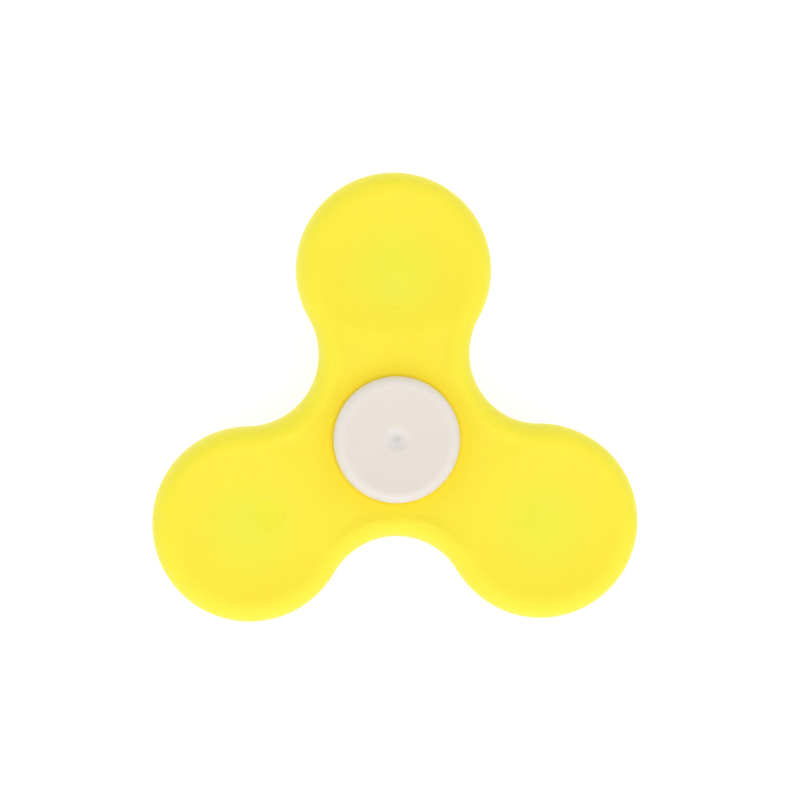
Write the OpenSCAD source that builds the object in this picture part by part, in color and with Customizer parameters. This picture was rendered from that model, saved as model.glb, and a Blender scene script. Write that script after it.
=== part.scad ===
// Three-lobed fidget spinner: a hollow two-shell body with a steel ring sealed in each
// lobe, turning on a 608 ball bearing that is held by a pressed-in cap on each face.
// The spin axis is Z. The origin is on that axis, in the plane the lower cap rests on.

/* [Outline] */
// Distance from the spin axis to the centre of each lobe
lobe_reach = 26; // [25.5:0.1:26.5]
// Radius of each lobe
lobe_r = 15; // [14.8:0.1:15.2]
// Distance from the spin axis to the outline midway between two lobes
waist_r = 15.1; // [15:0.1:15.4]

/* [Body shells] */
// Thickness of the closed body across its rim
body_t = 10.4; // [10.4:0.1:11]
// How far the rounded edge reaches in from the outline
edge_in = 2.4; // [2:0.1:2.6]
// How far the rounded edge reaches down from the rim
edge_down = 3.6; // [3:0.1:4]
// Thickness of the side wall
wall = 1.7; // [1.6:0.1:1.8]
// Depth of the dish in each lobe, below the rim
dish_depth = 1.0; // [0.8:0.1:1.1]
// Radius of the dish in each lobe, where it meets the rim
dish_r = 11.9; // [11.5:0.1:12]
// Height of the hub's dish at the spin axis, above the parting plane
hub_floor = 4.05; // [4.05:0.05:4.2]
// Radius of the sphere that forms the hub's dish
hub_dish_sphere_r = 165; // [150:5:200]
// Radius of the opening in each shell, under the cap
opening_r = 9; // [8.9:0.1:9.2]
// Height of the locating tongue on the lower shell
tongue_h = 0.8; // [0.6:0.1:0.9]

/* [Ball bearing] */
// Number of balls in the 608 bearing
ball_count = 7; // [6, 7]
// Sheet thickness of the pressed cage
cage_t = 0.35; // [0.3:0.05:0.4]
// Sheet thickness of the two shields
shield_t = 0.3; // [0.2:0.05:0.3]

/* [Finger caps] */
// Cap diameter
cap_d = 19.5; // [19:0.1:20]
// Thickness of the cap's rim
cap_t = 2; // [1.9:0.1:2.2]
// Depth of the finger dish in the cap
cap_dish_depth = 0.6; // [0.5:0.05:0.7]
// Length of the stub in the bearing's bore
stub_length = 3.3; // [2.8:0.1:3.4]

/* [Counterweights] */
// Outside diameter of the steel ring in each lobe
weight_od = 20.5; // [20:0.1:20.6]
// Hole in the steel ring, clear of the screw boss
weight_id = 13; // [12.8:0.1:13.2]

/* [Screws] */
// Distance from each lobe's centre to its screw, towards the hub
screw_offset = 3.5; // [3:0.1:3.6]
// Diameter of the screw's head
screw_head_d = 3.6; // [3.4:0.1:3.7]
// Diameter over the screw's thread
screw_thread_d = 2.2; // [2.1:0.1:2.3]

/* [Hidden] */
$fn = 96;
dish_fn = 400;                     // finer steps for the very large spheres of the dishes

lobe_count = 3;
overlap = 0.5;                     // how far a cutter runs past the face it opens

// Outline: three lobe arcs joined by three tangent fillet arcs
lobe_steps = 28;
fillet_steps = 12;
outline_steps = lobe_count * (lobe_steps + fillet_steps);
fillet_r = (pow(lobe_reach, 2) + pow(waist_r, 2) - lobe_reach * waist_r - pow(lobe_r, 2))
         / (lobe_reach + 2 * lobe_r - 2 * waist_r);
fillet_reach = waist_r + fillet_r;
lobe_turn = atan2(fillet_reach * sin(60), fillet_reach * cos(60) - lobe_reach);
fillet_turn = lobe_turn - 60;

// Size 608 bearing: bore, outside diameter and width are fixed by the standard
bore_d = 8;
bearing_od = 22;
bearing_w = 7;
ball_d = 3.969;                    // five thirty-seconds of an inch
pitch_r = 7.5;                     // radius of the circle of ball centres

// Heights are measured from the parting plane, and mid_z lifts that plane into place
half_t = body_t / 2;
half_w = bearing_w / 2;
edge_steps = 6;
seam_chamfer = 0.12;
roof_z = 2.6;                      // ceiling of the hollow in each lobe
dish_sphere_r = (pow(dish_r, 2) + pow(dish_depth, 2)) / (2 * dish_depth);
cap_r = cap_d / 2;
cap_rise = 0.65;                   // a cap's underside above the middle of the hub's dish
cap_under_z = hub_floor + cap_rise;
mid_z = cap_under_z + cap_t;

// Hub block around the bearing, rim bead, tongue and groove
hub_block_r = 13.6;
recess_foot = 3.5;                 // outline inset of the foot of the hub's recess
recess_lean = 0.7;                 // how far its side leans outwards for each mm of height
tongue_clearance = 0.05;
tongue_outer = 0.95;               // outline inset of the tongue's outer face
tongue_inner = 1.6;
tongue_keep_off_r = 14.6;          // the tongue stops where the wall joins the hub block

// Bearing details
ball_r = ball_d / 2;
race_r = 0.52 * ball_d;            // groove radius, 52 % of the ball diameter
race_play = 0.02;
race_shift = race_r - ball_r - race_play;
inner_land_r = 6.05;
outer_land_r = 8.95;
shield_inner_r = 6.3;
shield_outer_r = 9.55;
shield_z = 2.97;
ring_chamfer = 0.3;
ring_face_w = 0.6;                 // flat width of the outer ring's faces
land_chamfer = 0.1;
shield_bend_r = 7.4;               // the shield's inner part is bent inwards from here
shield_bend_w = 0.5;
shield_bend_h = 0.15;
shield_bend_lag = 0.1;             // the bend is this much nearer the axis on the outside
cage_play = 0.08;
cage_inner_r = 6.6;
cage_outer_r = 8.4;
rivet_r = 0.35;
rivet_head_r = 0.6;
rivet_head_t = 0.2;

// Cap details
cap_collar_r = 5.9;
cap_round = 0.9;
cap_land = 0.75;                   // width of the flat land on the rim
cap_dish_r = cap_r - cap_round - cap_land;
cap_dish_sphere_r = (pow(cap_dish_r, 2) + pow(cap_dish_depth, 2)) / (2 * cap_dish_depth);
dimple_r = 2.2;
dimple_depth = 0.25;
dimple_sphere_r = (pow(dimple_r, 2) + pow(dimple_depth, 2)) / (2 * dimple_depth);
gate_r = 0.55;
gate_pip_h = 0.15;
stub_core_r = 2.4;
stub_core_past = 0.6;              // how far the core runs past the stub
stub_chamfer = 0.3;

// Screw and boss details
screw_reach = lobe_reach - screw_offset;
boss_r = 2.6;
head_clearance = 0.25;
head_seat_z = 2.7;
head_t = 1.25;
head_slope = 0.5;
cross_l = 2.2;                     // cross recess: length, width and depth of its slots
cross_w = 0.5;
cross_depth = 0.75;
pilot_r = 0.85;
pilot_depth = 2.4;
shank_clearance_r = screw_thread_d / 2 + 0.15;
thread_start = 0.4;
thread_pitch = 0.8;
screw_point_l = 0.6;
thread_core_r = screw_thread_d / 2 - 0.3;
screw_reach_up = 2.1;              // how far the point enters the upper boss
weight_clearance = 0.1;
weight_rib_t = 1;
weight_chamfer = 0.4;

function lobe_angle(k) = 90 + 360 / lobe_count * k;
function on_circle(r, a) = [r * cos(a), r * sin(a)];
function lobe_centre(k) = on_circle(lobe_reach, lobe_angle(k));

// Points of the outline, moved inwards by inset
function outline_points(inset) = [
    for (k = [0 : lobe_count - 1]) each concat(
        [for (i = [0 : lobe_steps])
            lobe_centre(k)
            + on_circle(lobe_r - inset, lobe_angle(k) - lobe_turn + 2 * lobe_turn * i / lobe_steps)],
        [for (i = [1 : fillet_steps - 1])
            on_circle(fillet_reach, lobe_angle(k) + 60)
            + on_circle(fillet_r + inset,
                        lobe_angle(k) + 240 + fillet_turn - 2 * fillet_turn * i / fillet_steps)])
];

// A closed solid through a stack of rings, each one [outline inset, height]
module outline_stack(rings) {
    n = outline_steps;
    per_lobe = lobe_steps + fillet_steps;
    top = (len(rings) - 1) * n;
    low_centre = len(rings) * n;
    high_centre = low_centre + lobe_count + 1;
    // Each flat end is fanned from its lobe centres and, between lobes, from the middle
    function end_faces(base, centre) = [
        for (k = [0 : lobe_count - 1], j = [0 : per_lobe - 1])
            [centre + (j < lobe_steps ? k + 1 : 0), base + k * per_lobe + j,
             base + (k * per_lobe + j + 1) % n],
        for (k = [0 : lobe_count - 1]) each [
            [centre, base + k * per_lobe, centre + k + 1],
            [centre, centre + k + 1, base + k * per_lobe + lobe_steps]]];
    function flipped(face) = [for (i = [len(face) - 1 : -1 : 0]) face[i]];
    function centres(z) = [[0, 0, z], for (k = [0 : lobe_count - 1])
                           [lobe_centre(k)[0], lobe_centre(k)[1], z]];
    polyhedron(
        points = [
            for (ring = rings) each [for (p = outline_points(ring[0])) [p[0], p[1], ring[1]]],
            each centres(rings[0][1]),
            each centres(rings[len(rings) - 1][1])],
        faces = [
            for (r = [0 : len(rings) - 2], j = [0 : n - 1])
                [r * n + j, (r + 1) * n + j, (r + 1) * n + (j + 1) % n, r * n + (j + 1) % n],
            each end_faces(0, low_centre),
            for (face = end_faces(top, high_centre)) flipped(face)],
        convexity = 6);
}

module outline_prism(inset, z_low, z_high) {
    translate([0, 0, z_low])
        linear_extrude(z_high - z_low)
            polygon(outline_points(inset));
}

module at_lobes(reach = lobe_reach) {
    for (k = [0 : lobe_count - 1])
        rotate(lobe_angle(k)) translate([reach, 0, 0]) children();
}

module tube(outer_r, inner_r, z_low, z_high) {
    translate([0, 0, z_low])
        difference() {
            cylinder(r = outer_r, h = z_high - z_low);
            translate([0, 0, -overlap])
                cylinder(r = inner_r, h = z_high - z_low + 2 * overlap);
        }
}

// A large sphere whose lowest point is at floor_z, turned so that its poles lie well off the dish
module dish_sphere(r, floor_z) {
    translate([0, 0, floor_z + r])
        rotate([90, 0, 0])
            sphere(r = r, $fn = dish_fn);
}

// Solid half body with its rounded edge, the three lobe dishes and the dished hub face
module half_body_skin() {
    edge_rings = [for (i = [1 : edge_steps])
        [edge_in * (1 - cos(90 * i / edge_steps)),
         half_t - edge_down * (1 - sin(90 * i / edge_steps))]];
    recess_h = half_t + overlap - hub_floor;
    difference() {
        outline_stack(concat(
            [[seam_chamfer, 0], [0, seam_chamfer], [0, half_t - edge_down]], edge_rings));
        at_lobes()
            dish_sphere(dish_sphere_r, half_t - dish_depth);
        intersection() {
            outline_stack([[recess_foot + recess_lean * overlap, hub_floor - overlap],
                           [recess_foot - recess_lean * recess_h, half_t + overlap]]);
            dish_sphere(hub_dish_sphere_r, hub_floor);
        }
    }
}

// The hollow in the lobes, less the hub block, the rings that locate the weights and the bosses
module half_body_hollow() {
    difference() {
        outline_prism(wall, -overlap, roof_z);
        translate([0, 0, -2 * overlap])
            cylinder(r = hub_block_r, h = roof_z + 3 * overlap);
        at_lobes() {
            rib_r = weight_od / 2 + weight_clearance;
            tube(rib_r + weight_rib_t, rib_r, 0, roof_z + overlap);
        }
        at_lobes(screw_reach)
            cylinder(r = boss_r, h = roof_z + overlap);
    }
}

module bearing_pocket() {
    translate([0, 0, -overlap]) {
        cylinder(r = bearing_od / 2, h = half_w + overlap);
        cylinder(r = opening_r, h = half_t + 2 * overlap);
    }
}

module upper_body_shell() {
    color("gold")
        translate([0, 0, mid_z])
            difference() {
                half_body_skin();
                half_body_hollow();
                bearing_pocket();
                // Groove for the lower shell's tongue
                difference() {
                    outline_prism(tongue_outer - tongue_clearance, -overlap,
                                  tongue_h + tongue_clearance);
                    outline_prism(wall + overlap, -2 * overlap, tongue_h + overlap);
                    translate([0, 0, -2 * overlap])
                        cylinder(r = tongue_keep_off_r - tongue_clearance, h = tongue_h + 4 * overlap);
                }
                // Blind holes for the screws' threads
                at_lobes(screw_reach)
                    translate([0, 0, -overlap])
                        cylinder(r = pilot_r, h = pilot_depth + overlap);
            }
}

module lower_body_shell() {
    color("gold")
        translate([0, 0, mid_z])
            mirror([0, 0, 1]) {
                difference() {
                    half_body_skin();
                    half_body_hollow();
                    bearing_pocket();
                    at_lobes(screw_reach) {
                        translate([0, 0, -overlap])
                            cylinder(r = shank_clearance_r, h = half_t);
                        translate([0, 0, head_seat_z])
                            cylinder(r = screw_head_d / 2 + head_clearance, h = half_t);
                    }
                }
                // Tongue that stands inside the upper shell's wall
                difference() {
                    outline_prism(tongue_outer, -tongue_h, overlap);
                    outline_prism(tongue_inner, -tongue_h - overlap, 2 * overlap);
                    translate([0, 0, -tongue_h - overlap])
                        cylinder(r = tongue_keep_off_r, h = tongue_h + 3 * overlap);
                }
            }
}

// Pan-head self-tapping screw, head down, with its seat at z = 0 and its point upwards
module shell_screw() {
    shank_l = head_seat_z + screw_reach_up;
    teeth = floor((shank_l - thread_start - screw_point_l) / thread_pitch);
    head_r = screw_head_d / 2;
    difference() {
        union() {
            translate([0, 0, -head_t])
                difference() {
                    cylinder(r = head_r, h = head_t);
                    // A sloped edge on the head
                    rotate_extrude()
                        polygon([[head_r - head_slope, -overlap], [head_r + overlap, -overlap],
                                 [head_r + overlap, head_slope], [head_r, head_slope],
                                 [head_r - head_slope, 0]]);
                }
            rotate_extrude()
                polygon(concat(
                    [[0, -head_t / 2], [thread_core_r, -head_t / 2]],
                    [for (i = [0 : teeth - 1]) each [
                        [thread_core_r, thread_start + i * thread_pitch],
                        [screw_thread_d / 2, thread_start + (i + 0.4) * thread_pitch],
                        [thread_core_r, thread_start + (i + 0.8) * thread_pitch]]],
                    [[thread_core_r, shank_l - screw_point_l], [0, shank_l]]));
        }
        // Cross recess
        for (a = [0, 90])
            rotate(a)
                translate([-cross_l / 2, -cross_w / 2, -head_t - overlap])
                    cube([cross_l, cross_w, cross_depth + overlap]);
    }
}

module shell_screws() {
    color("silver")
        at_lobes(screw_reach)
            translate([0, 0, mid_z - head_seat_z])
                shell_screw();
}

// Punched steel ring, chamfered on both sides, gripped between the two shells
module counterweight(k) {
    r_out = weight_od / 2;
    r_in = weight_id / 2;
    c = weight_chamfer;
    color("slategray")
        translate([lobe_centre(k - 1)[0], lobe_centre(k - 1)[1], mid_z])
            rotate_extrude()
                polygon([[r_in, -roof_z + c], [r_in + c, -roof_z], [r_out - c, -roof_z],
                         [r_out, -roof_z + c], [r_out, roof_z - c], [r_out - c, roof_z],
                         [r_in + c, roof_z], [r_in, roof_z - c]]);
}

// Moulded cap with its finger face upwards and the parting plane at z = 0
module finger_cap() {
    top = mid_z;
    difference() {
        rotate_extrude()
            union() {
                translate([0, cap_under_z])
                    square([cap_r - cap_round, cap_t]);
                translate([0, cap_under_z])
                    square([cap_r, cap_t - cap_round]);
                translate([cap_r - cap_round, top - cap_round])
                    circle(r = cap_round);
                translate([0, half_w])
                    square([cap_collar_r, cap_under_z - half_w + overlap]);
                polygon([[0, half_w - stub_length],
                         [bore_d / 2 - stub_chamfer, half_w - stub_length],
                         [bore_d / 2, half_w - stub_length + stub_chamfer],
                         [bore_d / 2, half_w + overlap],
                         [0, half_w + overlap]]);
            }
        translate([0, 0, top - cap_dish_depth + cap_dish_sphere_r])
            sphere(r = cap_dish_sphere_r, $fn = dish_fn);
        // Shallow dimple round the moulding gate, which leaves a small pip
        difference() {
            translate([0, 0, top - cap_dish_depth - dimple_depth + dimple_sphere_r])
                sphere(r = dimple_sphere_r);
            translate([0, 0, top - cap_dish_depth - 2 * dimple_depth])
                cylinder(r = gate_r, h = dimple_depth + gate_pip_h);
        }
        // The stub is cored out from its free end
        translate([0, 0, half_w - stub_length - overlap])
            cylinder(r = stub_core_r, h = stub_length + stub_core_past + overlap);
    }
}

module upper_finger_cap() {
    color("white")
        translate([0, 0, mid_z])
            finger_cap();
}

module lower_finger_cap() {
    color("white")
        translate([0, 0, mid_z])
            mirror([0, 0, 1])
                finger_cap();
}

module bearing_outer_ring() {
    r = bearing_od / 2;
    c = ring_chamfer;
    color("lightsteelblue")
        translate([0, 0, mid_z])
            rotate_extrude()
                difference() {
                    polygon([[outer_land_r, -half_w + c], [r - c - ring_face_w, -half_w],
                             [r - c, -half_w], [r, -half_w + c], [r, half_w - c],
                             [r - c, half_w], [r - c - ring_face_w, half_w],
                             [outer_land_r, half_w - c]]);
                    // Ball groove
                    translate([pitch_r - race_shift, 0])
                        circle(r = race_r);
                    // Seats for the two shields, open to the ring's faces
                    for (side = [-1, 1])
                        translate([0, side > 0 ? shield_z : -shield_z - 1])
                            square([shield_outer_r, 1]);
                }
}

module bearing_inner_ring() {
    r_in = bore_d / 2;
    r_out = inner_land_r;
    c_in = ring_chamfer;
    c_out = land_chamfer;
    color("lightsteelblue")
        translate([0, 0, mid_z])
            rotate_extrude()
                difference() {
                    polygon([[r_in, -half_w + c_in], [r_in + c_in, -half_w],
                             [r_out - c_out, -half_w], [r_out, -half_w + c_out],
                             [r_out, half_w - c_out], [r_out - c_out, half_w],
                             [r_in + c_in, half_w], [r_in, half_w - c_in]]);
                    translate([pitch_r + race_shift, 0])
                        circle(r = race_r);
                }
}

// Pressed steel ring with a dished inner edge, crimped into the outer ring
module bearing_shield() {
    bent_z = shield_z - shield_bend_h;
    bend_end_r = shield_bend_r + shield_bend_w;
    rotate_extrude()
        polygon([[shield_inner_r, bent_z], [shield_bend_r, bent_z], [bend_end_r, shield_z],
                 [shield_outer_r, shield_z], [shield_outer_r, shield_z + shield_t],
                 [bend_end_r - shield_bend_lag, shield_z + shield_t],
                 [shield_bend_r - shield_bend_lag, bent_z + shield_t],
                 [shield_inner_r, bent_z + shield_t]]);
}

module bearing_upper_shield() {
    color("gainsboro") translate([0, 0, mid_z]) bearing_shield();
}

module bearing_lower_shield() {
    color("gainsboro") translate([0, 0, mid_z]) mirror([0, 0, 1]) bearing_shield();
}

module at_balls(offset_angle = 0) {
    for (i = [1 : ball_count])
        rotate(90 + 360 / ball_count * (i - 1) + offset_angle)
            translate([pitch_r, 0, 0]) children();
}

// One pressed half of the cage: a flat ring with a round cup over each ball
module cage_half() {
    cup_r = ball_r + cage_play;
    difference() {
        intersection() {
            tube(cage_outer_r, cage_inner_r, 0, cup_r + cage_t + overlap);
            union() {
                cylinder(r = cage_outer_r + overlap, h = cage_t);
                at_balls() sphere(r = cup_r + cage_t);
            }
        }
        at_balls() sphere(r = cup_r);
        at_balls(180 / ball_count)
            translate([0, 0, -overlap])
                cylinder(r = rivet_r, h = cage_t + 2 * overlap);
    }
}

module cage_upper_half() {
    color("silver") translate([0, 0, mid_z]) cage_half();
}

module cage_lower_half() {
    color("silver") translate([0, 0, mid_z]) mirror([0, 0, 1]) cage_half();
}

// One rivet midway between each pair of balls
module cage_rivets() {
    color("gray")
        translate([0, 0, mid_z])
            at_balls(180 / ball_count) {
                translate([0, 0, -cage_t])
                    cylinder(r = rivet_r, h = 2 * cage_t);
                for (z = [-cage_t - rivet_head_t, cage_t])
                    translate([0, 0, z])
                        cylinder(r = rivet_head_r, h = rivet_head_t);
            }
}

module bearing_ball(i) {
    color("whitesmoke")
        translate([0, 0, mid_z])
            rotate(90 + 360 / ball_count * (i - 1))
                translate([pitch_r, 0, 0])
                    sphere(r = ball_r);
}

upper_body_shell();
lower_body_shell();
shell_screws();
for (k = [1 : lobe_count])
    counterweight(k);
upper_finger_cap();
lower_finger_cap();
bearing_outer_ring();
bearing_inner_ring();
bearing_upper_shield();
bearing_lower_shield();
cage_upper_half();
cage_lower_half();
cage_rivets();
for (i = [1 : ball_count])
    bearing_ball(i);
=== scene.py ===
import math

import bmesh
import bpy
import numpy as np
from mathutils import Matrix, Vector


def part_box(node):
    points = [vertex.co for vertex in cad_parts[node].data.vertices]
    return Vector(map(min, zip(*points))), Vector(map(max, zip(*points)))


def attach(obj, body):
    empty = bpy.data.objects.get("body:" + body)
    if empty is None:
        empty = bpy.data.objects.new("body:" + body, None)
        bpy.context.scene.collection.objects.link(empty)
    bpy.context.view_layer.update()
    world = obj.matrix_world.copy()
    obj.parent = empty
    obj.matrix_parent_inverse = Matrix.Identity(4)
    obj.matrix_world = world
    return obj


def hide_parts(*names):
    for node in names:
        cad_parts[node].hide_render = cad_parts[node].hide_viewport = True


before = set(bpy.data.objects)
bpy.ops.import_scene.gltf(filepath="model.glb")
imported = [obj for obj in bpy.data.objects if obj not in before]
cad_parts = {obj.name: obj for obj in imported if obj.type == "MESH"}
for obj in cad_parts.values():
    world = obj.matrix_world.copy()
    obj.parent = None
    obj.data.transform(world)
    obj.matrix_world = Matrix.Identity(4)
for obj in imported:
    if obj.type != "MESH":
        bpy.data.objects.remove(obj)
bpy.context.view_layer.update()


# ---------------------------------------------------------------------------
# Body shells
# Two mouldings in yellow ABS, mirror images of each other, that meet at mid height
# with a tongue in a groove and are held by three screws from below. Each is a hollow
# skin with a rounded rim, a shallow dish in each lobe and a dished hub.
# ---------------------------------------------------------------------------

MM = 0.001                                 # sizes below are in millimetres

shell_low, shell_high = (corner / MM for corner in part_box("upper_body_shell"))
weight_low, weight_high = (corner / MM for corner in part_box("counterweight_1"))
seam_z = shell_low.z                       # the shells meet here, heights are from here
crest_h = shell_high.z - seam_z
lobe_reach = (weight_low.y + weight_high.y) / 2
lobe_r = shell_high.y - lobe_reach
waist_r = 15.1
screw_inset = 3.5
screw_reach = lobe_reach - screw_inset
fillet_r = ((lobe_reach ** 2 + waist_r ** 2 - lobe_reach * waist_r - lobe_r ** 2)
            / (lobe_reach + 2 * lobe_r - 2 * waist_r))
fillet_reach = waist_r + fillet_r

edge_in, edge_down = 2.4, 3.6              # reach of the rounded edge
dish_r, dish_depth = 11.9, 0.95
hub_floor, hub_sphere_r = 4.05, 186.0
bead_from, bead_to = 2.4, 5.4              # insets of the slope inside the rim
bead_fall = 1.1
waist_dip = 0.58                           # the rim is this much lower at the waist
dip_from, dip_to = 15.5, 21.5              # distances from a lobe where the dip is made
dish_blend, bead_blend, crest_blend = 0.18, 0.35, 0.05
opening_r, opening_round = 9.0, 0.15
pocket_r, pocket_h = 11.0, 3.5
block_r = 12.0
roof_h = 2.6
wall_t = 1.7
seam_chamfer = 0.13
lip_t, groove_h = 0.9, 0.85                # the upper shell's lip, outside its groove
tongue_outer, tongue_inner, tongue_h = 0.95, 1.6, 0.8
boss_r = 2.6
pilot_r, pilot_h = 0.85, 2.4               # blind hole for a screw in each upper boss

LOBE_COLS, EYE_COLS, SPINE_COLS, HUB_COLS = 132, 10, 32, 30
HALF_COLS = EYE_COLS + SPINE_COLS + HUB_COLS
EDGE_ROWS, RIM_ROWS, FACE_ROWS, ROOF_ROWS = 12, 6, 32, 6
rim_inset = 4.0                            # rows follow the outline this far in


def turn(degrees):
    """The complex number that turns a point about the spin axis."""
    return np.exp(1j * np.radians(degrees))


thirds = turn(np.array([90.0, 210.0, 330.0]))
lobe_centres = lobe_reach * thirds
fillet_centres = fillet_reach * thirds * turn(60)
lobe_span = np.degrees(np.angle(fillet_reach * turn(60) - lobe_reach))


def columns(over_lobe, over_half_fillet):
    """One value for each column of the grid, from those over a lobe and over half of the
    fillet after it. The other half is its mirror image, the other thirds are turned."""
    other_half = np.conj(over_half_fillet[-2:0:-1]) * turn(120)
    third = np.concatenate([over_lobe, over_half_fillet, other_half])
    return (thirds[:, None] * third).ravel()


lobe_turns = turn(np.linspace(-lobe_span, lobe_span, LOBE_COLS, endpoint=False))
fillet_turns = turn(np.linspace(lobe_span + 180, 240, HALF_COLS + 1))
outline = columns(lobe_reach + lobe_r * lobe_turns,
                  fillet_reach * turn(60) + fillet_r * fillet_turns)
inwards = columns(-lobe_turns, fillet_turns)

# Each column ends on the eye round a screw's axis, on the straight spine from the eye
# to the hub, or on the hub's circle
inset_corner = lobe_reach - screw_reach + (lobe_r - rim_inset) * turn(lobe_span)
eye_span = np.degrees(np.angle(inset_corner))
eye_turns = columns(
    turn(np.linspace(-eye_span, eye_span, LOBE_COLS, endpoint=False)),
    np.concatenate([turn(np.linspace(eye_span, 180, EYE_COLS + 1)),
                    np.zeros(SPINE_COLS + HUB_COLS)]))
hub_turns = columns(
    np.zeros(LOBE_COLS),
    np.concatenate([np.zeros(EYE_COLS + SPINE_COLS), turn(np.linspace(0, 60, HUB_COLS + 1))]))
screw_axes = columns(np.full(LOBE_COLS, screw_reach), np.full(HALF_COLS + 1, screw_reach))
on_eye, on_hub = np.abs(eye_turns) > 0.5, np.abs(hub_turns) > 0.5


def inner_ends(eye_r, hub_r):
    """Where the columns end, for an eye and a hub circle of the given radii."""
    spine = columns(np.zeros(LOBE_COLS), np.concatenate(
        [np.zeros(EYE_COLS), np.linspace(screw_reach - eye_r, hub_r, SPINE_COLS + 1),
         np.zeros(HUB_COLS)]))
    return np.where(on_eye, screw_axes + eye_r * eye_turns,
                    np.where(on_hub, hub_r * hub_turns, spine))


def soft_step(x, low, high):
    """0 below low, 1 above high, and a smooth cubic ramp between."""
    t = np.clip((x - low) / (high - low), 0, 1)
    return t * t * (3 - 2 * t)


def soft_min(a, b, width):
    """The lower of two heights, blended over a width where they cross."""
    h = np.clip(0.5 + 0.5 * (b - a) / width, 0, 1)
    return b * (1 - h) + a * h - width * h * (1 - h)


def from_nearest_lobe(p):
    """Distance from the nearest lobe's centre."""
    return np.abs(p[..., None] - lobe_centres).min(-1)


def inset_of(p):
    """Distance inwards from the outline, to the nearest lobe's or fillet's arc."""
    from_lobes = p[..., None] - lobe_centres
    facing = np.abs(np.degrees(np.angle(from_lobes / lobe_centres))) <= lobe_span
    lobe_inset = np.where(facing, lobe_r - np.abs(from_lobes), lobe_r).min(-1)
    fillet_inset = (np.abs(p[..., None] - fillet_centres) - fillet_r).min(-1)
    return np.minimum(lobe_inset, fillet_inset)


def crest_at(p):
    """Height of the rim's crest, which dips a little at the waist."""
    return crest_h - waist_dip * soft_step(from_nearest_lobe(p), dip_from, dip_to)


def face_height(p):
    """Height of the outer face inside the rim: a lobe's dish rises with the cube of the
    distance from its centre and the hub's with the square of the distance from the
    axis. The lower one counts, and the rim's bead stands above it up to the crest."""
    lobe_dish = crest_h - dish_depth + dish_depth * (from_nearest_lobe(p) / dish_r) ** 3
    hub_dish = hub_floor + np.abs(p) ** 2 / (2 * hub_sphere_r)
    dish = soft_min(lobe_dish, hub_dish, dish_blend)
    crest = crest_at(p)
    bead = crest - bead_fall * soft_step(inset_of(p), bead_from, bead_to)
    return soft_min(crest, -soft_min(-dish, -bead, bead_blend), crest_blend)


def row(p, h):
    """One row of the grid: the points p of all columns at the height h."""
    return np.stack([p.real, p.imag, np.broadcast_to(h, p.shape)], -1)


def grid_faces(columns_used, rows, first, across):
    """Quads between neighbouring rows, over the used columns and the next one to each."""
    after = (columns_used + 1) % across
    start = first + across * np.arange(rows - 1)[:, None]
    return np.stack([start + columns_used, start + after, start + across + after,
                     start + across + columns_used], -1).reshape(-1, 4)


def closed_piece(name, points, quads, sharp=35):
    """A piece from points in metres and quads. Seams and poles are merged shut, faces
    turned outwards, and edges over the sharp angle stay sharp."""
    mesh = bpy.data.meshes.new(name)
    mesh.from_pydata(points.tolist(), [], quads.tolist())
    work = bmesh.new()
    work.from_mesh(mesh)
    bmesh.ops.remove_doubles(work, verts=work.verts, dist=0.002 * MM)
    bmesh.ops.recalc_face_normals(work, faces=work.faces)
    work.to_mesh(mesh)
    work.free()
    mesh.shade_smooth()
    mesh.set_sharp_from_angle(angle=math.radians(sharp))
    piece = bpy.data.objects.new(name, mesh)
    bpy.context.scene.collection.objects.link(piece)
    return piece


def shell(name, side, seam_rows, face_eye, eye_rows, roof_eye):
    """A closed shell from rows that run round the outline. They climb from the seam over
    the rounded edge and the face, go down the hub's opening and back under the roof.
    seam_rows are (inset, height). face_eye are (radius, sink) about each screw's axis,
    eye_rows and roof_eye are (radius, height). side is -1 for the mirrored lower shell."""
    t = np.radians(np.linspace(0, 90, EDGE_ROWS + 1))
    edge = [row(outline + inwards * edge_in * (1 - math.cos(a)),
                crest_at(outline) - edge_down * (1 - math.sin(a))) for a in t]
    rim = [outline + inwards * d for d in np.linspace(edge_in, rim_inset, RIM_ROWS + 1)[1:]]
    ends = inner_ends(face_eye[0][0], opening_r + opening_round)
    face = rim + [rim[-1] + (ends - rim[-1]) * s
                  for s in np.linspace(0, 1, FACE_ROWS + 1)[1:]]
    roof_outer = outline + inwards * wall_t
    roof_ends = inner_ends(roof_eye[0][0], block_r)
    roof = [row(roof_ends + (roof_outer - roof_ends) * s, roof_h)
            for s in np.linspace(0, 1, ROOF_ROWS + 1)]
    seam = [row(outline + inwards * d, h) for d, h in seam_rows]

    def at_eye(r):
        return screw_axes + r * eye_turns

    hub_h = face_height(ends)
    hub = [row(ends, hub_h),
           row(hub_turns * (opening_r + opening_round / 4), hub_h - opening_round / 4),
           row(hub_turns * opening_r, hub_h - opening_round)]
    hub += [row(hub_turns * r, h) for r, h in [
        (opening_r, pocket_h), (pocket_r, pocket_h), (pocket_r, seam_chamfer),
        (pocket_r + seam_chamfer, 0), (block_r, 0), (block_r, roof_h)]]
    bands = [(edge + [row(p, face_height(p)) for p in face], None),
             (roof, None),
             (seam + edge[:1], None),
             ([row(at_eye(r), face_height(at_eye(r)) + sink) for r, sink in face_eye]
              + [row(at_eye(r), h) for r, h in eye_rows], on_eye),
             ([row(at_eye(r), h) for r, h in roof_eye], on_eye),
             (hub, on_hub)]

    across = len(outline)
    points = np.concatenate([np.concatenate(rows) for rows, _ in bands])
    first, quads = 0, []
    for rows, mask in bands:
        used = np.arange(across)
        if mask is not None:
            used = used[mask & np.roll(mask, -1)]
        quads.append(grid_faces(used, len(rows), first, across))
        first += len(rows) * across
    kept, quads = np.unique(np.concatenate(quads), return_inverse=True)
    points = points[kept]
    points[:, 2] = seam_z + side * points[:, 2]
    return closed_piece(name, points * MM, quads.reshape(-1, 4))


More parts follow.
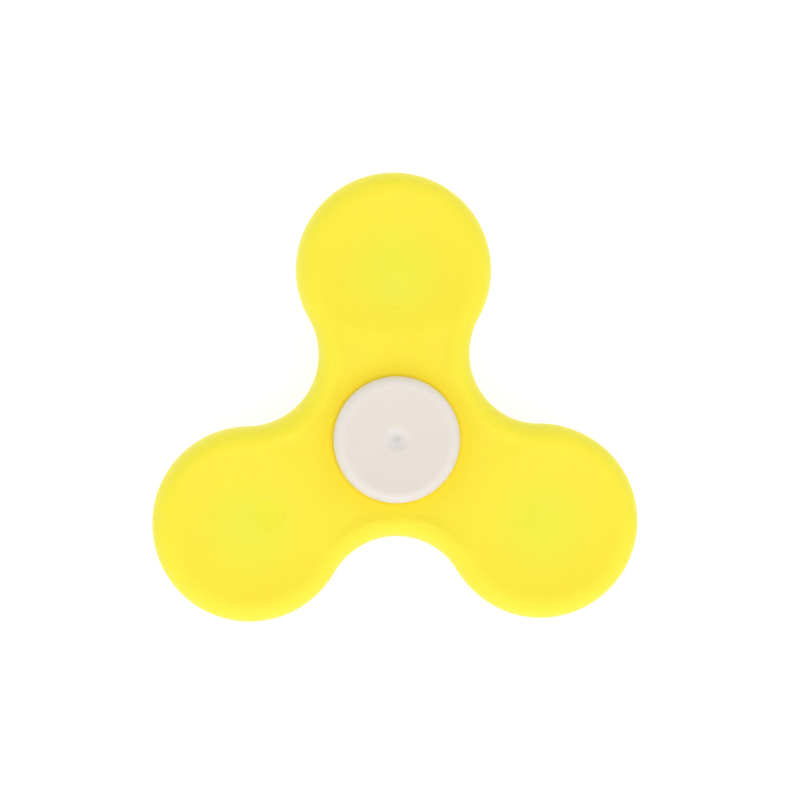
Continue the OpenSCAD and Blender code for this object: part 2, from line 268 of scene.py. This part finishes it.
mark_r, mark_sink = 2.25, 0.05             # round witness mark over each screw boss
upper_shell = shell(
    "yellow_upper_shell", 1,
    seam_rows=[(wall_t, roof_h), (wall_t, groove_h), (lip_t, groove_h), (lip_t, 0),
               (seam_chamfer, 0), (0, seam_chamfer)],
    face_eye=[(mark_r + 0.3, 0), (mark_r + 0.12, -0.002), (mark_r + 0.04, -0.5 * mark_sink),
              (mark_r - 0.06, -0.95 * mark_sink), (mark_r - 0.2, -mark_sink),
              (1.4, -mark_sink), (0.7, -mark_sink), (0, -mark_sink)],
    eye_rows=[],
    roof_eye=[(boss_r, roof_h), (boss_r, 0), (pilot_r, 0), (pilot_r, pilot_h), (0, pilot_h)])

head_bore_r, head_seat_h, shank_bore_r = 2.05, 2.7, 1.25
lower_shell = shell(
    "yellow_lower_shell", -1,
    seam_rows=[(wall_t, roof_h), (wall_t, 0), (tongue_inner, 0), (tongue_inner, -tongue_h),
               (tongue_outer, -tongue_h), (tongue_outer, 0), (seam_chamfer, 0),
               (0, seam_chamfer)],
    face_eye=[(head_bore_r + 0.4, 0), (head_bore_r + 0.15, 0), (head_bore_r + 0.04, -0.04),
              (head_bore_r, -0.15)],
    eye_rows=[(head_bore_r, head_seat_h), (shank_bore_r, head_seat_h), (shank_bore_r, 0),
              (boss_r, 0), (boss_r, roof_h)],
    roof_eye=[(boss_r, roof_h)])


def material(name, roughness, **sockets):
    """A new node material, its node tree and its shader with the given fixed sockets."""
    made = bpy.data.materials.new(name)
    made.use_nodes = True
    shader = made.node_tree.nodes["Principled BSDF"]
    shader.inputs["Roughness"].default_value = roughness
    for socket, value in sockets.items():
        shader.inputs[socket.replace("_", " ")].default_value = value
    return made, made.node_tree, shader


def node(tree, kind, inputs=None, **settings):
    """A node of the given kind, with linked sockets or fixed values for its inputs."""
    made = tree.nodes.new("ShaderNode" + kind)
    for setting, value in settings.items():
        setattr(made, setting, value)
    for socket, value in (inputs or {}).items():
        if isinstance(value, bpy.types.NodeSocket):
            tree.links.new(value, made.inputs[socket])
        else:
            made.inputs[socket].default_value = value
    return made


def ramp(tree, value, stops):
    """A colour ramp over a value, with stops of (position, colour)."""
    made = node(tree, "ValToRGB", {"Fac": value})
    elements = made.color_ramp.elements
    for (position, colour), element in zip(stops, [elements[0], elements[-1]]):
        element.position, element.color = position, colour
    for position, colour in stops[2:]:
        elements.new(position).color = colour
    return made.outputs["Color"]


def mottle(tree, colour, scale, darkest):
    """A colour made uneven by soft clouds, down to the darkest share of itself."""
    place = node(tree, "TexCoord").outputs["Object"]
    cloud = node(tree, "TexNoise", {"Vector": place, "Scale": scale, "Detail": 3.0})
    level = node(tree, "MapRange", {"Value": cloud.outputs["Fac"], "From Min": 0.3,
                                    "From Max": 0.7, "To Min": darkest, "To Max": 1.0})
    return node(tree, "VectorMath", {0: colour, 1: level.outputs["Result"]},
                operation="MULTIPLY").outputs["Vector"]


def specks(tree, colour, per_metre, radius, speck_colour, share):
    """Tiny round specks of dust or grit, in a random share of the cells of a grid."""
    place = node(tree, "TexCoord").outputs["Object"]
    cells = node(tree, "TexVoronoi", {"Vector": place, "Scale": per_metre})
    chance = node(tree, "SeparateColor", {"Color": cells.outputs["Color"]})
    chosen = node(tree, "Math", {0: chance.outputs["Red"], 1: share}, operation="LESS_THAN")
    near = node(tree, "MapRange", {"Value": cells.outputs["Distance"], "To Min": 0.7,
                                   "From Min": 0.6 * radius * per_metre, "To Max": 0.0,
                                   "From Max": radius * per_metre})
    amount = node(tree, "Math", {0: near.outputs["Result"], 1: chosen.outputs["Value"]},
                  operation="MULTIPLY")
    mixed = node(tree, "Mix", {"Factor": amount.outputs["Value"], "A": colour,
                               "B": speck_colour}, data_type="RGBA")
    return mixed.outputs["Result"]


def grain(tree, shader, scale, height, rough_low, rough_high):
    """Fine grain of a moulded or tumbled surface, as a bump and an uneven gloss."""
    place = node(tree, "TexCoord").outputs["Object"]
    fine = node(tree, "TexNoise", {"Vector": place, "Scale": scale, "Detail": 4.0})
    bump = node(tree, "Bump", {"Height": fine.outputs["Fac"], "Strength": 0.5,
                               "Distance": height})
    tree.links.new(bump.outputs["Normal"], shader.inputs["Normal"])
    broad = node(tree, "TexNoise", {"Vector": place, "Scale": scale / 8, "Detail": 2.0})
    gloss = node(tree, "MapRange", {"Value": broad.outputs["Fac"], "From Min": 0.3,
                                    "From Max": 0.7, "To Min": rough_low,
                                    "To Max": rough_high})
    tree.links.new(gloss.outputs["Result"], shader.inputs["Roughness"])


# The yellow runs from tone 0 at the edge of the hub's opening to the lemon middle of
# the lobes. Round the cap the lowest tones are painted light and shade. A witness mark holds
# more or less blue than the plastic round it.
painted_shade_tone, warm_tone, edge_tone, lemon_tone = 0.05, 0.2, 0.45, 0.6
plain_mark, mark_steps = 0.7, np.array([0.24, -0.27, -0.09])
plastic, tree, shader = material("yellow_abs", 0.5, IOR=1.5, Subsurface_Scale=1.2 * MM)
shader.inputs["Subsurface Radius"].default_value = (0.8, 0.8, 0.2)
tone = node(tree, "Attribute", attribute_name="tone").outputs["Fac"]
# Painted light and shade round the cap: the first yellow, with full red, stands in for light
# through the plastic at the opening's edge; the second, a deeper orange, for the cap's shadow
painted_glow_yellow, painted_shade_yellow = (1.0, 0.75, 0.003, 1), (0.88, 0.70, 0.004, 1)
warm, lemon = (0.865, 0.732, 0.027, 1), (0.80, 0.755, 0.04, 1)
yellow = ramp(tree, tone, [(0.0, painted_glow_yellow), (lemon_tone, lemon), (painted_shade_tone, painted_shade_yellow),
                           (warm_tone, warm)])
yellow = mottle(tree, yellow, 120.0, 0.985)
tint = ramp(tree, node(tree, "Attribute", attribute_name="mark").outputs["Fac"],
            [(0.0, (1, 1, 0, 1)), (1.0, (1, 1, 1, 1))])
yellow = node(tree, "VectorMath", {0: yellow, 1: tint}, operation="MULTIPLY")
yellow = specks(tree, yellow.outputs["Vector"], 250.0, 1.0 * MM, (0.83, 0.745, 0.014, 1), 0.2)
yellow = specks(tree, yellow, 130.0, 0.11 * MM, (0.42, 0.30, 0.05, 1), 0.05)
yellow = specks(tree, yellow, 170.0, 0.13 * MM, (0.95, 0.86, 0.30, 1), 0.04)
tree.links.new(yellow, shader.inputs["Base Color"])
# Light spreads in the thick walls, and less of it in the hub's thin flange over the steel
scatter = node(tree, "MapRange", {"Value": tone, "From Min": 0.03, "From Max": 0.15,
                                  "To Min": 0.0, "To Max": 0.7})
tree.links.new(scatter.outputs["Result"], shader.inputs["Subsurface Weight"])
grain(tree, shader, 2600.0, 0.006 * MM, 0.47, 0.54)

for piece, node_name in [(upper_shell, "upper_body_shell"), (lower_shell, "lower_body_shell")]:
    spots = np.empty(len(piece.data.vertices) * 3, "f")
    piece.data.vertices.foreach_get("co", spots)
    spots = spots.reshape(-1, 3) / MM
    spots = spots[:, 0] + 1j * spots[:, 1]
    # The plastic looks lemon over the hollow middle of a lobe, warm over the steel ring,
    # paler towards the outline and a shade different in each witness mark. By the cap it gets
    # a painted golden shadow of the cap and, at the opening's edge, painted light through the
    # plastic
    hollow = 1 - soft_step(from_nearest_lobe(spots), 1.5, 10.5)
    # Paler towards the outline: near the edge the tone moves from warm towards lemon
    edge = 1 - soft_step(inset_of(spots), 0.4, 3.6)
    # Painted shade and glow: the weight of the golden tones round the cap, in place of the cap's
    # shadow and of light through the plastic
    painted_cap_shade_and_glow = 1 - soft_step(np.abs(spots), 9.5, 14.0)
    tones = (warm_tone * (1 - painted_cap_shade_and_glow) + np.maximum((lemon_tone - warm_tone) * hollow,
                                                   (edge_tone - warm_tone) * edge))
    in_mark = np.abs(spots[:, None] - screw_reach * thirds) < mark_r - 0.01
    for name, values in [("tone", tones), ("mark", plain_mark + in_mark @ mark_steps)]:
        piece.data.attributes.new(name, "FLOAT", "POINT").data.foreach_set("value", values)
    piece.data.materials.append(plastic)
    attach(piece, "rotor")
    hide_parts(node_name)


# ---------------------------------------------------------------------------
# Finger caps
# A milky ABS disc for each face, dished for the finger, with a small moulding pip in
# a dimple at its middle. Its collar rests on the bearing and its stub is pressed in.
# ---------------------------------------------------------------------------

cap_low, cap_high = (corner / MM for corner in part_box("upper_finger_cap"))
cap_r = cap_high.x
cap_top = cap_high.z
stub_end = cap_low.z
cap_t = 2.0
cap_edge_in, cap_edge_down, cap_land, cap_dish = 1.35, 1.5, 0.2, 0.6
collar_r, stub_r, core_r = 5.9, 4.0, 2.4
lip_chamfer, collar_chamfer, stub_lead, core_floor_t = 0.12, 0.2, 0.3, 0.6
ring_face = seam_z + pocket_h
dimple_r, dimple_sink, pip_r, pip_h = 2.2, 0.55, 0.6, 0.04
CAP_COLS = 160


def turned_piece(name, profile, across):
    """A profile of (radius, height) points carried once round the spin axis."""
    r, z = np.array(profile).T[..., None]
    a = turn(np.linspace(0, 360, across, endpoint=False))
    points = np.stack([r * a.real, r * a.imag, z + 0 * a.real], -1).reshape(-1, 3)
    return closed_piece(name, points * MM, grid_faces(np.arange(across), len(profile), 0, across))


def cap_profile():
    """The cap's half section, from the middle of its dish out over the rim and back
    under to the cored stub. The dish falls with the square of the radius, the dimple
    and the pip with soft steps, and the rim is a quarter ellipse."""
    dish_out = cap_r - cap_edge_in - cap_land
    r = np.concatenate([np.linspace(0, 0.45, 4), np.linspace(0.5, 0.75, 6),
                        np.linspace(0.9, 1.8, 6), np.linspace(1.9, 2.5, 9),
                        np.linspace(2.7, dish_out - 0.3, 26),
                        np.linspace(dish_out - 0.2, dish_out + 0.2, 7)])
    top = cap_top - cap_dish * (1 - (r / dish_out) ** 2)
    top = soft_min(top, cap_top, 0.02)
    dimple = dimple_sink * (1 - soft_step(r, 0.7, dimple_r - 0.1))
    pip = pip_h * (1 - soft_step(r, pip_r - 0.2, pip_r + 0.1))
    finger_face = list(zip(r, top - dimple + pip))
    t = np.radians(np.linspace(90, 0, 12))
    rim = list(zip(cap_r - cap_edge_in + cap_edge_in * np.cos(t),
                   cap_top - cap_edge_down + cap_edge_down * np.sin(t)))
    under = cap_top - cap_t
    return finger_face + rim + [
        (cap_r, under + lip_chamfer), (cap_r - lip_chamfer, under),
        (collar_r + collar_chamfer, under), (collar_r, under - collar_chamfer),
        (collar_r, ring_face), (stub_r, ring_face),
        (stub_r, stub_end + stub_lead), (stub_r - stub_lead, stub_end), (core_r, stub_end),
        (core_r, ring_face + core_floor_t), (0, ring_face + core_floor_t)]


milky, tree, shader = material("milky_abs", 0.45, IOR=1.5, Subsurface_Weight=0.6,
                               Subsurface_Scale=1.5 * MM)
shader.inputs["Subsurface Radius"].default_value = (1.0, 0.85, 0.7)
# Only the rim's crest reaches the palest stop, at 1.0, and there it is a painted highlight
milk = ramp(tree, node(tree, "Attribute", attribute_name="milk").outputs["Fac"],
            [(0.0, (0.610, 0.585, 0.565, 1)), (1.0, (0.727, 0.678, 0.620, 1)),
             (0.25, (0.722, 0.685, 0.655, 1)), (0.5, (0.714, 0.655, 0.598, 1))])
milk = mottle(tree, milk, 260.0, 0.985)
milk = specks(tree, milk, 260.0, 0.09 * MM, (0.50, 0.38, 0.22, 1), 0.04)
tree.links.new(milk, shader.inputs["Base Color"])
grain(tree, shader, 3000.0, 0.004 * MM, 0.40, 0.48)

# The rim's step is a painted shade down the outer rounding; the crest's step is a painted
# highlight
dish_milk, dimple_step, gate_step, crest_highlight_step, rim_shade_step = 0.5, -0.25, -0.25, 0.5, -0.3
crest_r, crest_w = cap_r - cap_edge_in - cap_land / 2, 0.35
section = cap_profile()
for name, body_side in [("upper", 1), ("lower", -1)]:
    profile = [(r, seam_z + body_side * (z - seam_z)) for r, z in section]
    cap = turned_piece("milky_%s_cap" % name, profile, CAP_COLS)
    spots = np.empty(len(cap.data.vertices) * 3, "f")
    cap.data.vertices.foreach_get("co", spots)
    radii = np.hypot(spots[0::3], spots[1::3]) / MM
    # The milk is greyest at the gate, cool in the dimple and warmer in the dish, with a
    # painted shade down the rim and a painted highlight along the rim's crest
    tones = (dish_milk + dimple_step * (1 - soft_step(radii, 1.2, dimple_r))
             + gate_step * (1 - soft_step(radii, pip_r - 0.2, pip_r + 0.2))
             # Painted highlight: the crest ring is made palest all round
             + crest_highlight_step * soft_step(crest_w - np.abs(radii - crest_r), 0, crest_w)
             # Painted shade: the outer rounding of the rim is made greyer all round
             + rim_shade_step * soft_step(radii, crest_r + 0.1, crest_r + 0.7))
    milk_tone = cap.data.attributes.new("milk", "FLOAT", "POINT")
    milk_tone.data.foreach_set("value", tones)
    cap.data.materials.append(milky)
    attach(cap, "hub")
    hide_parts(name + "_finger_cap")


# ---------------------------------------------------------------------------
# Counterweights
# A punched steel ring in each lobe, tumbled and zinc plated, laid in a ring of ribs
# before the shells are closed over it.
# ---------------------------------------------------------------------------

def metal(name, colour, shade):
    """Bare metal, its colour mottled with a darker shade, ready for its finish."""
    made, tree, shader = material(name, 0.3, Metallic=1.0)
    place = node(tree, "TexCoord").outputs["Object"]
    patches = node(tree, "TexNoise", {"Vector": place, "Scale": 400.0, "Detail": 5.0})
    tone = ramp(tree, patches.outputs["Fac"], [(0.35, (*shade, 1)), (0.65, (*colour, 1))])
    tree.links.new(tone, shader.inputs["Base Color"])
    return made, tree, shader


def finish_nodes(finish, *node_names):
    """Gives CAD nodes a material, in every slot."""
    for node_name in node_names:
        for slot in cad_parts[node_name].material_slots:
            slot.material = finish


zinc, tree, shader = metal("tumbled_zinc_plate", (0.56, 0.57, 0.58), (0.42, 0.43, 0.46))
grain(tree, shader, 1600.0, 0.02 * MM, 0.30, 0.5)
finish_nodes(zinc, "counterweight_1", "counterweight_2", "counterweight_3")


# ---------------------------------------------------------------------------
# Screws
# Three small pan-head self-tapping screws in bright nickel plate, driven from below
# through the lower shell into the upper shell's bosses.
# ---------------------------------------------------------------------------

nickel, tree, shader = metal("bright_nickel", (0.72, 0.70, 0.66), (0.58, 0.56, 0.52))
grain(tree, shader, 2500.0, 0.004 * MM, 0.16, 0.34)
finish_nodes(nickel, "shell_screws")


# ---------------------------------------------------------------------------
# Ball bearing
# A 608 bearing: two ground rings of bearing steel, seven polished balls in a pressed
# and riveted cage, and a pressed shield crimped into each side of the outer ring.
# ---------------------------------------------------------------------------

def turned_lines(tree, shader, per_metre, height, rough_low, rough_high):
    """Fine rings about the spin axis, as grinding or a press tool leaves them."""
    place = node(tree, "TexCoord").outputs["Object"]
    rings = node(tree, "TexWave", {"Vector": place, "Scale": per_metre, "Distortion": 1.5,
                                   "Detail": 3.0, "Detail Scale": 2.0},
                 wave_type="RINGS", rings_direction="Z")
    bump = node(tree, "Bump", {"Height": rings.outputs["Fac"], "Strength": 0.4,
                               "Distance": height})
    tree.links.new(bump.outputs["Normal"], shader.inputs["Normal"])
    gloss = node(tree, "MapRange", {"Value": rings.outputs["Fac"], "To Min": rough_low,
                                    "To Max": rough_high})
    tree.links.new(gloss.outputs["Result"], shader.inputs["Roughness"])


ground, tree, shader = metal("ground_bearing_steel", (0.60, 0.61, 0.63), (0.52, 0.53, 0.56))
turned_lines(tree, shader, 1100.0, 0.003 * MM, 0.18, 0.3)
finish_nodes(ground, "bearing_outer_ring", "bearing_inner_ring")

pressed, tree, shader = metal("pressed_shield_steel", (0.68, 0.68, 0.69), (0.60, 0.60, 0.62))
turned_lines(tree, shader, 420.0, 0.004 * MM, 0.28, 0.42)
finish_nodes(pressed, "bearing_upper_shield", "bearing_lower_shield")

cage_steel, tree, shader = metal("pressed_cage_steel", (0.55, 0.54, 0.53), (0.44, 0.43, 0.42))
grain(tree, shader, 2200.0, 0.006 * MM, 0.32, 0.48)
finish_nodes(cage_steel, "cage_upper_half", "cage_lower_half", "cage_rivets")

polished, tree, shader = metal("polished_ball_steel", (0.66, 0.67, 0.69), (0.63, 0.64, 0.66))
grain(tree, shader, 900.0, 0.0005 * MM, 0.05, 0.1)
finish_nodes(polished, *[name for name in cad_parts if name.startswith("bearing_ball")])


# ---------------------------------------------------------------------------
# Floor, light and camera
# A white table that glows softly, an even white room that is a little brighter towards
# the front, and one soft box. The camera looks nearly straight down from far away.
# ---------------------------------------------------------------------------

floor_mesh = bpy.data.meshes.new("floor")
reach = 2.0
floor_mesh.from_pydata([(-reach, -reach, 0), (reach, -reach, 0), (reach, reach, 0),
                        (-reach, reach, 0)], [], [(0, 1, 2, 3)])
floor = bpy.data.objects.new("floor", floor_mesh)
bpy.context.scene.collection.objects.link(floor)
white, tree, shader = material("white_table", 0.9)
shader.inputs["Base Color"].default_value = (0.28, 0.28, 0.28, 1)
shader.inputs["Emission Color"].default_value = (1, 1, 1, 1)
shader.inputs["Emission Strength"].default_value = 0.8
floor_mesh.materials.append(white)

world = bpy.data.worlds.new("studio")
bpy.context.scene.world = world
world.use_nodes = True
tree = world.node_tree
facing = node(tree, "TexCoord").outputs["Generated"]
split = node(tree, "SeparateXYZ", {"Vector": facing})
glow = node(tree, "MapRange", {"Value": split.outputs["Y"], "From Min": -1.0, "From Max": 1.0,
                               "To Min": 1.15, "To Max": 0.96})
tree.links.new(glow.outputs["Result"], tree.nodes["Background"].inputs["Strength"])
tree.nodes["Background"].inputs["Color"].default_value = (1, 1, 1, 1)

light = bpy.data.lights.new("soft_box", "AREA")
light.shape = "SQUARE"
light.size = 0.45
light.energy = 0.38
lamp = bpy.data.objects.new("soft_box", light)
bpy.context.scene.collection.objects.link(lamp)
lamp_at = (0.03, -0.25, 0.36)
lamp.location = lamp_at
lamp.rotation_euler = (math.atan2(-lamp_at[1], lamp_at[2]), 0, 0)

camera = bpy.data.cameras.new("camera")
camera.sensor_width = 36.0
camera.lens = 200.0
eye = bpy.data.objects.new("camera", camera)
bpy.context.scene.collection.objects.link(eye)
bpy.context.scene.camera = eye
seen_width = 0.1237
distance = seen_width * camera.lens / camera.sensor_width
look_at = Vector((0.0009, 0.0059, 0.0067))
lean_left, lean_back = math.radians(4.0), math.radians(2.3)
backwards = Vector((-math.tan(lean_left), math.tan(lean_back), 1.0)).normalized()
rightwards = Vector((0, 1, 0)).cross(backwards).normalized()
upwards = backwards.cross(rightwards)
eye.location = look_at + backwards * distance
level = Matrix((rightwards, upwards, backwards)).transposed()
eye.rotation_euler = (level @ Matrix.Rotation(math.radians(-0.4), 3, "Z")).to_euler()
bpy.context.scene.view_settings.view_transform = "Standard"
